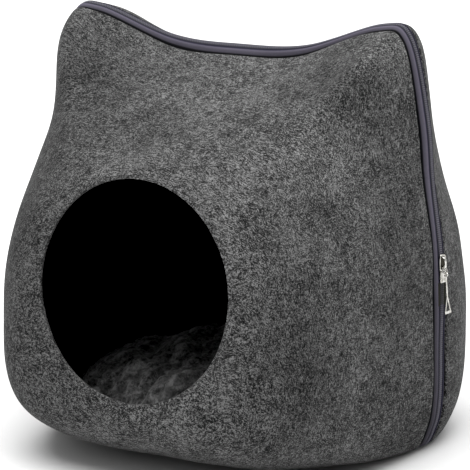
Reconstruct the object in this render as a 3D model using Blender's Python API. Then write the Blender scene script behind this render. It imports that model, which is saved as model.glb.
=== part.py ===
"""Felt cat cave: two moulded felt halves joined by a zip that runs right round the cat-head profile.

Metres, +Z up, the mouth towards -Y. The shape is worked out in the zip's own frame, with the zip in
the plane y = 0, and everything is then moved together so that the origin is the middle of the base.
"""

import math

import bmesh
import bpy
import numpy as np

# ---------------------------------------------------------------- driving dimensions
FELT = 0.004  # thickness of the moulded felt
TAPE = 0.001  # thickness of the zip's woven tape
GAP = 0.0003  # clearance that separate pieces keep
SEAM_GAP = 0.0005  # and that the tape keeps behind the bent felt

MOUTH_RADIUS = 0.114
MOUTH_HEIGHT = 0.206  # height of the mouth's middle above the floor
MOUTH_REACH = 0.218  # from the zip's plane to the mouth's middle
MOUTH_TILT = math.radians(9.6)  # the mouth's plane leans back at the top
CROWN_HEIGHT = 0.178  # height of the middle of the back
CROWN_REACH = 0.172  # from the zip's plane to the back

ROUNDING = math.radians(15)  # how far round the mouth the stiff felt evens out its own bends
ROUNDING_START = 0.5  # share of the way from the zip by which it does so in full
FLOOR_BLEND = 0.008  # the skin flattens into the base over this height
FRONT_HEM = 0.0144  # from the zip's middle to the front felt's cut edge, along the skin
BACK_HEM = 0.0105
TAPE_UNDERLAP = 0.008  # width of tape sewn behind the felt

CHAIN_WIDTH = 0.0060
CHAIN_SINK = 0.0004  # the chain's outer face below the skin
CHAIN_THICKNESS = 0.0026

SLIDER_HEIGHT = 0.2065  # middle of the slider above the floor, on the +X side
SLIDER_LENGTH = 0.018
SLIDER_NOSE_WIDTH = 0.011
SLIDER_TAIL_WIDTH = 0.0084
PLATE = 0.0012
DIAMOND_SETBACK = 0.0035  # from the slider's nose to the middle of the diamond
DIAMOND_LENGTH = 0.0040
DIAMOND_NOSE_WIDTH = 0.0022
DIAMOND_TAIL_WIDTH = 0.0012
BRIDGE_SPAN = 0.012
BRIDGE_RISE = 0.0042  # how far the bridge stands off the slider's plate
BRIDGE_WIRE = 0.0016

BOX_LENGTH = 0.012
BOX_WIDTH = 0.0086
BOX_CAP = (-0.0002, 0.0008)  # levels of the cap's two faces from the skin
BOX_CORE_DEPTH = 0.0032
BOX_PIN_WIRE = 0.0018
BOX_PIN_PLACE = 0.0021  # from the box's middle line to each pin's

LINK_WIRE = 0.0012
LINK_LENGTH = 0.0090
LINK_WIDTH = 0.0058
LINK_STAND = 0.0046  # how far the link's foot stands off the skin, clear of the box's pins
TAB_LENGTH = 0.040
TAB_NECK = 0.0018
TAB_NECK_SHARE = 0.52  # share of the tab that is neck, above the three-sided frame
TAB_LEG_WIRE = 0.0016
TAB_END_WIDTH = 0.0095
TAB_END_LENGTH = 0.0034
TAB_END_THICKNESS = 0.0020

CUSHION_HALF_WIDTH = 0.205
CUSHION_HALF_DEPTH = 0.146
CUSHION_CENTRE_Y = -0.018
CUSHION_HEIGHT = 0.066
CUSHION_SQUARENESS = 2.5  # 2 is an ellipse, more is squarer

AROUND = 4  # stations between two rows of the profile
ALONG = 10  # rows of faces between zip and mouth, or zip and crown
DENSE = 64  # samples along one meridian before it is spaced out

# The cat-head profile, from the middle of the base up the +X side to the dip between the ears, in
# millimetres and degrees. lean is how far the skin tips inwards where it leaves the zip, and the two
# reaches are how long it keeps its direction at the zip and at the mouth or crown.
PROFILE_COLUMNS = (
    "x", "z",
    "front_lean", "front_zip_reach", "mouth_reach",
    "back_lean", "back_zip_reach", "crown_reach",
)
PROFILE = {
    "base":      (0, -13, 4, 202, 30, -4, 140, 128),
    "corner_in": (177, -9, 8, 224, 97, -2, 130, 128),
    "corner":    (224, 28, 9, 262, 136, -4, 151, 130),
    "cheek_low": (234, 129, 10, 130, 92, 0, 131, 140),
    "cheek":     (236, 209, 31, 24, 126, 2, 103, 150),
    "neck":      (229, 290, 28, 24, 90, 23, 124, 160),
    "ear_out":   (225, 358, 28, 110, 54, 25, 114, 150),
    "ear_tip":   (208, 440, 12, 156, 31, 3, 109, 120),
    "ear_in":    (173, 451, 31, 120, 16, 11, 114, 118),
    "dip_side":  (82, 423, 54, 61, 20, 25, 78, 116),
    "dip":       (0, 418, 75, 25, 20, 29, 109, 115),
}

# Section of the zip's tape: its place between the chain's edge (0) and the felt's hem (1), how deep
# it lies below the skin, in metres, and how much of the chain's own level it keeps.
TAPE_SECTION = {
    "chain_edge": (0.0, 0.0012, 1.0),
    "crest":      (0.27, 0.0006, 0.45),
    "slope":      (0.66, 0.0018, 0.0),
    "foot":       (1.0, FELT + SEAM_GAP, 0.0),
}

# Section of the coil chain, once round: share of the half width, and share of the thickness below
# its outer face.
CHAIN_SECTION = {
    "side_front_high": (-1.0, 0.27),
    "top_front":       (-0.7, 0.0),
    "top_back":        (0.7, 0.0),
    "side_back_high":  (1.0, 0.27),
    "side_back_low":   (1.0, 0.73),
    "bottom_back":     (0.7, 1.0),
    "bottom_front":    (-0.7, 1.0),
    "side_front_low":  (-1.0, 0.73),
}

# Section of the cushion from the middle of its underside to its crown: share of the half width and
# share of the height.
CUSHION_SECTION = {
    "under":     (0.22, 0.00),
    "foot":      (0.44, 0.00),
    "side_low":  (0.83, 0.26),
    "seam":      (1.00, 0.60),
    "side_high": (0.965, 0.78),
    "shoulder":  (0.86, 0.93),
    "inner":     (0.62, 0.995),
    "middle":    (0.30, 0.985),
}
CUSHION_STATIONS = 40
# Broad hollows in the plush: place across, place in depth, radius and sink, in metres.
CUSHION_HOLLOWS = {
    "middle":     (-0.020, -0.010, 0.085, 0.012),
    "left_fold":  (-0.110, -0.060, 0.045, 0.009),
    "right_fold": (0.100, -0.040, 0.050, 0.008),
    "back_fold":  (0.020, 0.080, 0.045, 0.006),
}

COLOURS = {  # base colour, roughness, metallic
    "charcoal_felt": ((0.085, 0.085, 0.084), 0.95, 0.0),
    "tape_weave":    ((0.120, 0.115, 0.150), 0.80, 0.0),
    "coil_nylon":    ((0.045, 0.043, 0.060), 0.45, 0.0),
    "slider_metal":  ((0.620, 0.610, 0.580), 0.28, 1.0),
    "plush":         ((0.060, 0.060, 0.060), 1.00, 0.0),
}


def clear_scene():
    for thing in list(bpy.data.objects):
        bpy.data.objects.remove(thing, do_unlink=True)


def material(name):
    colour, roughness, metallic = COLOURS[name]
    made = bpy.data.materials.get(name) or bpy.data.materials.new(name)
    made.use_nodes = True
    shader = made.node_tree.nodes["Principled BSDF"]
    shader.inputs["Base Color"].default_value = (*colour, 1.0)
    shader.inputs["Roughness"].default_value = roughness
    shader.inputs["Metallic"].default_value = metallic
    return made


def unit(vectors):
    return vectors / np.linalg.norm(vectors, axis=-1, keepdims=True)


# ---------------------------------------------------------------- the skin
def profile_table():
    """The profile's rows carried round both sides and smoothed by a closed Catmull-Rom curve."""
    rows = np.array(list(PROFILE.values()), float)
    mirrored = rows[1:-1][::-1].copy()
    mirrored[:, 0] *= -1
    knots = np.concatenate([rows, mirrored])
    before, after, beyond = (np.roll(knots, shift, axis=0) for shift in (1, -1, -2))
    t = (np.arange(AROUND) / AROUND)[None, :, None]
    a, b, c, d = (part[:, None, :] for part in (before, knots, after, beyond))
    smooth = 0.5 * (
        2 * b + (c - a) * t + (2 * a - 5 * b + 4 * c - d) * t**2 + (3 * b - a - 3 * c + d) * t**3
    )
    table = smooth.reshape(-1, rows.shape[1])
    return {name: table[:, i] for i, name in enumerate(PROFILE_COLUMNS)}


def settle(height):
    """Presses the skin flat on the floor, with a soft start."""
    blend = (height + FLOOR_BLEND) ** 2 / (4 * FLOOR_BLEND)
    return np.where(height <= -FLOOR_BLEND, 0, np.where(height >= FLOOR_BLEND, height, blend))


def round_out(points, turn):
    """Evens each ring of the skin out, more with the distance from the zip, as stiff felt does.

    A point moves towards the mean of its ring's neighbours, weighted by a bell curve over the turn
    round the mouth. The mean is spread again about the ring's middle, so a circle stays as it is.
    """
    away = (turn[:, None] - turn[None, :] + math.pi) % (2 * math.pi) - math.pi
    share = ((np.roll(turn, -1) - np.roll(turn, 1) + math.pi) % (2 * math.pi) - math.pi) / 2
    bell = np.exp(-0.5 * (away / ROUNDING) ** 2) * share[None, :]
    bell /= bell.sum(axis=1, keepdims=True)
    middle = np.einsum("i,ijk->jk", share / share.sum(), points)
    even = middle + (np.einsum("ij,jkl->ikl", bell, points) - middle) * math.exp(ROUNDING**2 / 2)
    start = np.clip(np.linspace(0, 1, points.shape[1]) / ROUNDING_START, 0, 1)
    weight = (start**2 * (3 - 2 * start))[None, :, None]
    return points + weight * (even - points)


def leaving(table, side):
    """Unit direction in which the skin leaves the zip at each station, on one side of it."""
    height = MOUTH_HEIGHT if side == "front" else CROWN_HEIGHT
    lean = np.radians(table[f"{side}_lean"])
    inward = unit(np.stack([-table["x"], height * 1000 - table["z"]], axis=-1))
    along = np.cos(lean) * (-1 if side == "front" else 1)
    return np.stack([inward[:, 0] * np.sin(lean), along, inward[:, 1] * np.sin(lean)], axis=-1)


def skin(table, side):
    """One half's outer face as cubic meridians from the zip to the mouth's rim or the crown."""
    front = side == "front"
    sign = -1 if front else 1
    radius, height = (MOUTH_RADIUS, MOUTH_HEIGHT) if front else (0.0, CROWN_HEIGHT)
    reach, tilt = (MOUTH_REACH, MOUTH_TILT) if front else (CROWN_REACH, 0.0)
    zip_line = np.stack([table["x"], 0 * table["x"], table["z"]], axis=-1) / 1000
    turn = np.arctan2(zip_line[:, 2] - height, zip_line[:, 0])
    outward = np.stack(
        [np.cos(turn), -sign * np.sin(turn) * math.sin(tilt), np.sin(turn) * math.cos(tilt)],
        axis=-1,
    )
    rim = np.array([0, sign * reach, height]) + radius * outward
    near = zip_line + leaving(table, side) * table[f"{side}_zip_reach"][:, None] / 1000
    far = rim + outward * table["mouth_reach" if front else "crown_reach"][:, None] / 1000
    v = np.linspace(0, 1, DENSE)[None, :, None]
    points = (
        zip_line[:, None] * (1 - v) ** 3
        + 3 * near[:, None] * v * (1 - v) ** 2
        + 3 * far[:, None] * v**2 * (1 - v)
        + rim[:, None] * v**3
    )
    points = round_out(points, turn)
    points[..., 2] = settle(points[..., 2])
    return points


def skin_normals(points, side):
    """Outward unit normals of the dense skin, by central differences."""
    around = np.roll(points, -1, axis=0) - np.roll(points, 1, axis=0)
    along = np.gradient(points, axis=1)
    if side == "back":  # all meridians meet at the crown
        around[:, -1] = around[:, -2]
    sign = 1 if side == "front" else -1
    return unit(np.cross(around, along)) * sign


class Half:
    """One felt half's skin, ready to be read at any distance from the zip and any depth."""

    def __init__(self, table, side):
        self.points = skin(table, side)
        self.normals = skin_normals(self.points, side)
        steps = np.linalg.norm(np.diff(self.points, axis=1), axis=-1)
        self.travel = np.concatenate([np.zeros((len(steps), 1)), np.cumsum(steps, axis=1)], axis=1)

    def at(self, distances):
        """Points and normals at distances of shape (stations, columns) from the zip's middle."""
        def read(field):
            return np.stack(
                [
                    np.stack([np.interp(d, t, f[:, k]) for k in range(3)], axis=-1)
                    for d, t, f in zip(distances, self.travel, field)
                ]
            )
        return read(self.points), unit(read(self.normals))

    def felt_distances(self, hem):
        """Rows at the hem, at the end of the tape behind it, and on to the mouth or the crown."""
        seam = hem + TAPE_UNDERLAP
        even = np.linspace(0, 1, ALONG)
        share = 0.5 * even + 0.25 * (1 - np.cos(math.pi * even))
        rest = seam + (self.travel[:, -1:] - seam) * share[None, :]
        return np.concatenate([np.full((len(rest), 1), hem), rest], axis=1)


# ---------------------------------------------------------------- meshes
def finish(name, mesh, look, smooth_angle=40):
    """Wraps a mesh in an object with its faces outward, its shading set and its material on."""
    work = bmesh.new()
    work.from_mesh(mesh)
    bmesh.ops.recalc_face_normals(work, faces=work.faces)
    work.to_mesh(mesh)
    work.free()
    mesh.shade_smooth()
    mesh.set_sharp_from_angle(angle=math.radians(smooth_angle))
    mesh.materials.append(material(look))
    made = bpy.data.objects.new(name, mesh)
    bpy.context.collection.objects.link(made)
    return made


def band_faces(loops, count, closed_loops):
    """Quads between rings of `count` vertices, laid one after another in rows."""
    rows = len(loops)
    faces = []
    for i in range(rows if closed_loops else rows - 1):
        here, there = loops[i], loops[(i + 1) % rows]
        for k in range(count):
            after = (k + 1) % count
            faces.append((here + k, here + after, there + after, there + k))
    return faces


def wall_mesh(name, outer, inner):
    """A ring-shaped wall: an outer and an inner grid of (around, along) points, joined at the rims."""
    stations = outer.shape[0]
    columns = np.concatenate([outer, inner[:, ::-1]], axis=1)
    vertices = columns.transpose(1, 0, 2).reshape(-1, 3)
    starts = [i * stations for i in range(columns.shape[1])]
    mesh = bpy.data.meshes.new(name)
    mesh.from_pydata(vertices.tolist(), [], band_faces(starts, stations, True))
    return mesh


def bowl_mesh(name, outer, inner):
    """A bowl-shaped wall: the last column of each grid is a single point, the middle of the bowl."""
    stations = outer.shape[0]
    rings = np.concatenate([outer[:, :-1][:, ::-1], inner[:, :-1]], axis=1)
    vertices = rings.transpose(1, 0, 2).reshape(-1, 3).tolist()
    starts = [i * stations for i in range(rings.shape[1])]
    faces = band_faces(starts, stations, False)
    poles = len(vertices)
    vertices += [outer[0, -1].tolist(), inner[0, -1].tolist()]
    last = starts[-1]
    faces += [(poles, (k + 1) % stations, k) for k in range(stations)]
    faces += [(poles + 1, last + k, last + (k + 1) % stations) for k in range(stations)]
    mesh = bpy.data.meshes.new(name)
    mesh.from_pydata(vertices, [], faces)
    return mesh


def front_shell(half):
    points, normals = half.at(half.felt_distances(FRONT_HEM))
    return finish("front_shell", wall_mesh("front_shell", points, points - FELT * normals), "charcoal_felt")


def back_shell(half):
    points, normals = half.at(half.felt_distances(BACK_HEM))
    points[:, -1] = points[:, -1].mean(axis=0)
    normals[:, -1] = (0, 1, 0)
    return finish("back_shell", bowl_mesh("back_shell", points, points - FELT * normals), "charcoal_felt")


# ---------------------------------------------------------------- the zip
def zip_frame(table):
    """At each station: the zip's middle, the way across it towards the back, and the way out."""
    middle = np.stack([table["x"] / 1000, 0 * table["x"], settle(table["z"] / 1000)], axis=-1)
    along = unit(np.roll(middle, -1, axis=0) - np.roll(middle, 1, axis=0))
    across = unit(leaving(table, "back") - leaving(table, "front"))
    across = unit(across - along * np.sum(across * along, axis=1, keepdims=True))
    out = np.cross(across, along)
    flat = middle[:, 2] < 1e-6
    across[flat] = (0, 1, 0)
    out[flat] = (0, 0, -1)
    return middle, across, out


def zip_tape(name, half, hem, table, side):
    """A woven tape from the chain's edge to its seam behind the felt, one thickness deep."""
    middle, across, out = zip_frame(table)
    sign = -1 if side == "front" else 1
    sections = list(TAPE_SECTION.values())
    edge = CHAIN_WIDTH / 2 + GAP
    reach = [edge + share * (hem - edge) for share, _, _ in sections]
    reach = np.array(reach + [hem + TAPE_UNDERLAP])
    depth = np.array([deep for _, deep, _ in sections] + [FELT + SEAM_GAP])
    hold = np.array([held for _, _, held in sections] + [0.0])
    points, normals = half.at(np.tile(reach, (len(middle), 1)))
    level = middle[:, None] + sign * across[:, None] * reach[None, :, None]
    weight = hold[None, :, None]
    base = points * (1 - weight) + level * weight
    facing = unit(normals * (1 - weight) + out[:, None] * weight)
    outer = base - facing * depth[None, :, None]
    inner = base - facing * (depth + TAPE)[None, :, None]
    return finish(name, wall_mesh(name, outer, inner), "tape_weave", 60)


class ZipRoute:
    """The zip's middle line as a function of the distance from the middle of the base."""

    def __init__(self, table):
        self.middle, self.across, self.out = zip_frame(table)
        step = np.linalg.norm(np.roll(self.middle, -1, axis=0) - self.middle, axis=1)
        self.travel = np.concatenate([[0], np.cumsum(step)])
        self.length = self.travel[-1]

    def read(self, distance, field):
        closed = np.concatenate([field, field[:1]])
        return np.stack([np.interp(distance, self.travel, closed[:, k]) for k in range(3)], axis=-1)

    def frame(self, distance):
        """Origin, along, across and out at one distance."""
        distance = distance % self.length
        origin = self.read(distance, self.middle)
        ahead = self.read((distance + 0.004) % self.length, self.middle)
        behind = self.read((distance - 0.004) % self.length, self.middle)
        along = unit(ahead - behind)
        across = unit(self.read(distance, self.across))
        return origin, along, across, np.cross(across, along)

    def distance_at_height(self, height):
        """Where the +X side passes a height below the ears."""
        side = slice(AROUND, AROUND * list(PROFILE).index("ear_tip"))
        return float(np.interp(height, self.middle[side, 2], self.travel[side]))


def zip_chain(route, start, end):
    """The closed coil as a flat band, from the slider right round the profile to the box."""
    least_step = 0.004
    stations = np.concatenate([route.travel[:-1], route.travel[:-1] + route.length])
    passed = stations[(stations > start + least_step) & (stations < end - least_step)]
    section = [
        (share * CHAIN_WIDTH / 2, -CHAIN_SINK - deep * CHAIN_THICKNESS)
        for share, deep in CHAIN_SECTION.values()
    ]
    rings = []
    for distance in (start, *passed, end):
        turn = distance % route.length
        origin = route.read(turn, route.middle)
        across = unit(route.read(turn, route.across))
        out = unit(route.read(turn, route.out))
        rings.append([origin + across * w + out * n for w, n in section])
    count = len(section)
    vertices = [point.tolist() for ring in rings for point in ring]
    starts = [i * count for i in range(len(rings))]
    faces = band_faces(starts, count, False)
    faces += [tuple(range(count)), tuple(starts[-1] + k for k in range(count))]
    mesh = bpy.data.meshes.new("zip_chain")
    mesh.from_pydata(vertices, [], faces)
    return finish("zip_chain", mesh, "coil_nylon", 60)


def place(points, frame):
    """Carries (across, along, out) points into the zip's frame at a place."""
    origin, along, across, out = frame
    return [(origin + across * a + along * b + out * c).tolist() for a, b, c in points]


def plate_points(half_nose, half_tail, length, low, high):
    """A tapered plate's eight corners, the nose at the low end."""
    return [
        (side * half, end * length / 2, level)
        for level in (low, high)
        for end, half in ((-1, half_nose), (1, half_tail))
        for side in (-1, 1)
    ]


BLOCK_FACES = ((0, 1, 3, 2), (4, 6, 7, 5), (0, 4, 5, 1), (2, 3, 7, 6), (0, 2, 6, 4), (1, 5, 7, 3))


def block(name, points, look, bevel=0.0):
    """A six-faced block from its eight corners, with its edges rounded."""
    mesh = bpy.data.meshes.new(name)
    mesh.from_pydata(points, [], BLOCK_FACES)
    if bevel:
        work = bmesh.new()
        work.from_mesh(mesh)
        bmesh.ops.bevel(
            work, geom=work.edges[:], offset=bevel, segments=2, affect="EDGES", profile=0.5
        )
        work.to_mesh(mesh)
        work.free()
    return finish(name, mesh, look, 50)


def wire(name, path, radius, look, sides=8, closed=False):
    """A round wire along a path of points, with flat ends unless the path closes on itself."""
    points = np.array(path)
    if closed:
        heading = unit(np.roll(points, -1, axis=0) - np.roll(points, 1, axis=0))
    else:
        heading = unit(np.gradient(points, axis=0))
    spread = np.linalg.svd(points - points.mean(axis=0))[2]
    rise = unit(spread[2] - heading * (heading @ spread[2])[:, None])
    side = np.cross(heading, rise)
    turn = np.arange(sides) * 2 * math.pi / sides
    rings = (
        points[:, None]
        + radius * np.cos(turn)[None, :, None] * rise[:, None]
        + radius * np.sin(turn)[None, :, None] * side[:, None]
    )
    starts = [i * sides for i in range(len(points))]
    faces = band_faces(starts, sides, closed)
    if not closed:
        faces += [tuple(range(sides)), tuple(starts[-1] + k for k in range(sides))]
    mesh = bpy.data.meshes.new(name)
    mesh.from_pydata(rings.reshape(-1, 3).tolist(), [], faces)
    return finish(name, mesh, look, 60)


def join(target, *others):
    """Fuses the others into the target, and keeps them as hidden guides."""
    for other in others:
        fuse = target.modifiers.new(other.name, "BOOLEAN")
        fuse.operation = "UNION"
        fuse.object = other
        other.hide_render = True
        other.display_type = "WIRE"
        other.hide_set(True)
    return target


def arch(rise, span, steps=9):
    """A low bridge in the (along, out) plane: up, over and down."""
    turn = np.linspace(0, math.pi, steps)
    return [(0.0, -span / 2 * math.cos(a), rise * math.sin(a) ** 0.6) for a in turn]


def zip_slider(frame):
    """Two plates round the chain, held by the diamond at the nose, with a bridge on the outer plate."""
    nose, tail = SLIDER_NOSE_WIDTH / 2, SLIDER_TAIL_WIDTH / 2
    top_low = GAP - CHAIN_SINK
    plate = block(
        "zip_slider",
        place(plate_points(nose, tail, SLIDER_LENGTH, top_low, top_low + PLATE), frame),
        "slider_metal",
        0.0004,
    )
    under_high = -CHAIN_SINK - CHAIN_THICKNESS - GAP
    under = block(
        "slider_under",
        place(plate_points(nose, tail, SLIDER_LENGTH, under_high - PLATE, under_high), frame),
        "slider_metal",
        0.0003,
    )
    bite = PLATE / 2
    post = [
        (a, b - SLIDER_LENGTH / 2 + DIAMOND_SETBACK, c)
        for a, b, c in plate_points(
            DIAMOND_NOSE_WIDTH / 2, DIAMOND_TAIL_WIDTH / 2, DIAMOND_LENGTH,
            under_high - bite, top_low + bite,
        )
    ]
    diamond = block("slider_diamond", place(post, frame), "slider_metal")
    base = top_low + PLATE / 2
    curve = [(a, b, c + base) for a, b, c in arch(BRIDGE_RISE, BRIDGE_SPAN)]
    bridge = wire("slider_bridge", place(curve, frame), BRIDGE_WIRE / 2, "slider_metal")
    return join(plate, under, diamond, bridge)


def zip_box(frame):
    """The box that the chain starts from: a core between the tapes, a cap and two pins on it."""
    half = BOX_WIDTH / 2
    cap = block(
        "zip_box",
        place(plate_points(half, half, BOX_LENGTH, *BOX_CAP), frame),
        "slider_metal",
        0.0003,
    )
    core_half = CHAIN_WIDTH / 2
    core = block(
        "box_core",
        place(
            plate_points(core_half, core_half, BOX_LENGTH * 0.96, -BOX_CORE_DEPTH, sum(BOX_CAP) / 2), frame
        ),
        "slider_metal",
    )
    pins = []
    for side in (-1, 1):
        line = [(side * BOX_PIN_PLACE, b * BOX_LENGTH * 0.46, BOX_CAP[1]) for b in (-1, 0, 1)]
        name = "box_pin_left" if side < 0 else "box_pin_right"
        pins.append(wire(name, place(line, frame), BOX_PIN_WIRE / 2, "slider_metal"))
    return join(cap, core, *pins)


def stadium(length, width, steps=6):
    """A closed oval of two half circles and two straights in the (across, along) plane."""
    radius = width / 2
    straight = length / 2 - radius
    turn = np.linspace(0, math.pi, steps)
    top = [(radius * math.cos(a), straight + radius * math.sin(a)) for a in turn]
    return top + [(-x, -y) for x, y in top]


def pull_link(frame, head, foot):
    """The oval wire link that hangs in the slider's bridge, from (along, out) head to foot."""
    (head_along, head_out), (foot_along, foot_out) = head, foot
    path = []
    for a, b in stadium(LINK_LENGTH, LINK_WIDTH):
        share = 0.5 - b / LINK_LENGTH
        path.append(
            (a, head_along + (foot_along - head_along) * share, head_out + (foot_out - head_out) * share)
        )
    return wire("pull_link", place(path, frame), LINK_WIRE / 2, "slider_metal", closed=True)


def pull_tab(frame, eye_along, centre_out):
    """The pull: an eye on the link, a thin neck and a three-sided frame with a broad end."""
    eye_radius = LINK_WIRE / 2 + GAP + TAB_NECK / 2
    turn = np.arange(12) * math.pi / 6
    eye = [
        (0.0, eye_along + eye_radius * math.cos(a), centre_out + eye_radius * math.sin(a))
        for a in turn
    ]
    ring = wire("pull_tab", place(eye, frame), TAB_NECK / 2, "slider_metal", closed=True)
    top = eye_along - eye_radius
    fork = top - TAB_LENGTH * TAB_NECK_SHARE
    end = eye_along - TAB_LENGTH
    neck_line = [(0.0, top + (fork - top) * t, centre_out) for t in (0.0, 0.5, 1.03)]
    neck = wire("tab_neck", place(neck_line, frame), TAB_NECK / 2, "slider_metal")
    half = TAB_END_WIDTH / 2
    legs = []
    for side in (-1, 1):
        spread = side * (half - TAB_LEG_WIRE / 2)
        line = [(spread * t, fork + (end - fork) * t, centre_out) for t in (-0.03, 0.5, 1.0)]
        name = "tab_leg_left" if side < 0 else "tab_leg_right"
        legs.append(wire(name, place(line, frame), TAB_LEG_WIRE / 2, "slider_metal"))
    thick = TAB_END_THICKNESS / 2
    bar_points = [
        (a, b + end, c + centre_out)
        for a, b, c in plate_points(half, half * 0.9, TAB_END_LENGTH, -thick, thick)
    ]
    bar = block("tab_end", place(bar_points, frame), "slider_metal", 0.0005)
    return join(ring, neck, *legs, bar)


# ---------------------------------------------------------------- the cushion
def cushion():
    """A filled plush oval: flat underneath, full at the seam, with a softly hollowed crown."""
    turn = np.arange(CUSHION_STATIONS) * 2 * math.pi / CUSHION_STATIONS
    power = 2 / CUSHION_SQUARENESS
    plan_x = CUSHION_HALF_WIDTH * np.sign(np.cos(turn)) * np.abs(np.cos(turn)) ** power
    plan_y = CUSHION_HALF_DEPTH * np.sign(np.sin(turn)) * np.abs(np.sin(turn)) ** power
    floor = FELT + SEAM_GAP + TAPE + GAP
    rings = [
        np.stack([plan_x * share, plan_y * share, 0 * turn + high * CUSHION_HEIGHT], axis=-1)
        for share, high in CUSHION_SECTION.values()
    ]
    points = np.concatenate(rings + [[[0, 0, 0.0], [0, 0, 0.98 * CUSHION_HEIGHT]]])
    upper = np.clip(points[:, 2] / CUSHION_HEIGHT - 0.6, 0, 0.4) / 0.4
    for x, y, radius, sink in CUSHION_HOLLOWS.values():
        away = ((points[:, 0] - x) ** 2 + (points[:, 1] - y) ** 2) / radius**2
        points[:, 2] -= sink * np.exp(-away) * upper
    points += (0, CUSHION_CENTRE_Y, floor)
    count = CUSHION_STATIONS
    starts = [i * count for i in range(len(rings))]
    faces = band_faces(starts, count, False)
    under, crown = len(points) - 2, len(points) - 1
    last = starts[-1]
    faces += [(under, (k + 1) % count, k) for k in range(count)]
    faces += [(crown, last + k, last + (k + 1) % count) for k in range(count)]
    mesh = bpy.data.meshes.new("cushion")
    mesh.from_pydata(points.tolist(), [], faces)
    return finish("cushion", mesh, "plush", 80)


def centre_on_base(objects):
    """Hangs every piece on one empty, placed so that the origin is the middle of the base."""
    bpy.context.view_layer.update()
    corners = np.concatenate(
        [[vertex.co[:] for vertex in piece.data.vertices] for piece in objects if not piece.hide_render]
    )
    middle = (corners.min(axis=0) + corners.max(axis=0)) / 2
    root = bpy.data.objects.new("cave", None)
    bpy.context.collection.objects.link(root)
    root.location = (-middle[0], -middle[1], 0)
    for piece in objects:
        piece.parent = root


def build():
    clear_scene()
    table = profile_table()
    front, back = Half(table, "front"), Half(table, "back")
    front_shell(front)
    back_shell(back)
    zip_tape("zip_tape_front", front, FRONT_HEM, table, "front")
    zip_tape("zip_tape_back", back, BACK_HEM, table, "back")

    route = ZipRoute(table)
    slider = route.distance_at_height(SLIDER_HEIGHT)
    nose = slider - SLIDER_LENGTH / 2
    box = nose - GAP - BOX_LENGTH / 2
    chain_start = nose + DIAMOND_SETBACK + DIAMOND_LENGTH / 2 + GAP
    chain_end = box - BOX_LENGTH / 2 - GAP
    zip_chain(route, chain_start, chain_end + route.length)
    slider_frame = route.frame(slider)
    zip_slider(slider_frame)
    zip_box(route.frame(box))

    inside_bridge = BRIDGE_WIRE / 2 + GAP + LINK_WIRE / 2
    plate_top = GAP - CHAIN_SINK + PLATE
    head = (inside_bridge - BRIDGE_SPAN / 2, plate_top + GAP + LINK_WIRE / 2)
    foot = (head[0] - LINK_LENGTH + LINK_WIRE, LINK_STAND)
    pull_link(slider_frame, head, foot)
    pull_tab(slider_frame, *foot)
    cushion()
    centre_on_base([piece for piece in bpy.data.objects if piece.type == "MESH"])


build()
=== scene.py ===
"""Looks of a felt cat cave: two moulded felt halves, the zip that joins them and a plush cushion.

Metres, +Z up, the mouth towards -Y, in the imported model's own frame. The shapes are worked out with
the zip in the plane y = 0, as in the part's own source, and ORIGIN then carries them to their place.
"""
from math import cos, exp, pi, radians, sin, sqrt

import bmesh
import bpy
import numpy as np
from mathutils import Matrix, Vector


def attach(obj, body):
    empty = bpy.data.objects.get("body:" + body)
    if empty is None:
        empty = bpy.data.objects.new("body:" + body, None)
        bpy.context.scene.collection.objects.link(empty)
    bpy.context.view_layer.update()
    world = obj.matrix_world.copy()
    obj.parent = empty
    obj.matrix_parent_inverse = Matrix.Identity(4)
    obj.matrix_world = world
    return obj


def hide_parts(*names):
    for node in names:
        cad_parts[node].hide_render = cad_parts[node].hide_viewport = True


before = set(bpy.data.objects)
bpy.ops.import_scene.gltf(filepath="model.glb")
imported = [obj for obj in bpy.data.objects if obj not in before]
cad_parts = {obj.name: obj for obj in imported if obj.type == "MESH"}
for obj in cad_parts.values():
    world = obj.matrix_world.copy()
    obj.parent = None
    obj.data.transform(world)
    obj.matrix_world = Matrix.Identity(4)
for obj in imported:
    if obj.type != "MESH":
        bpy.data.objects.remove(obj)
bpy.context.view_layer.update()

SCENE = bpy.context.scene
join = np.concatenate

# -------- sizes, as in the part's own source
ORIGIN = np.array([-0.0035, 0.0325, 0.0])  # the zip's middle at the floor, from the middle of the base
FELT, TAPE, SEAM_GAP = 0.004, 0.001, 0.0005
# Each half's way from the zip, then the circle at its far end: radius, height, reach and tilt. The
# front's circle is the mouth, and the back's is a point, the crown.
SIDES = {
    "front": (-1, 0.114, 0.206, 0.218, radians(9.6)),
    "back":  (1, 0.0, 0.178, 0.172, 0.0),
}
HEMS, TAPE_UNDERLAP = {"front": 0.0144, "back": 0.0105}, 0.008
ROUNDING, ROUNDING_START, FLOOR_BLEND = radians(15), 0.5, 0.008
CHAIN_WIDTH, CHAIN_SINK, CHAIN_THICKNESS, CHAIN_GAP = 0.0060, 0.0004, 0.0026, 0.0003
SLIDER_HEIGHT, BOX_LENGTH, BOX_GAP = 0.2065, 0.012, 0.0003
CHAIN_TUCK = 0.0058  # from the slider's lower end to the chain's first tooth
AHEAD = 0.002  # half the step along the zip that its direction is read over

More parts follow.
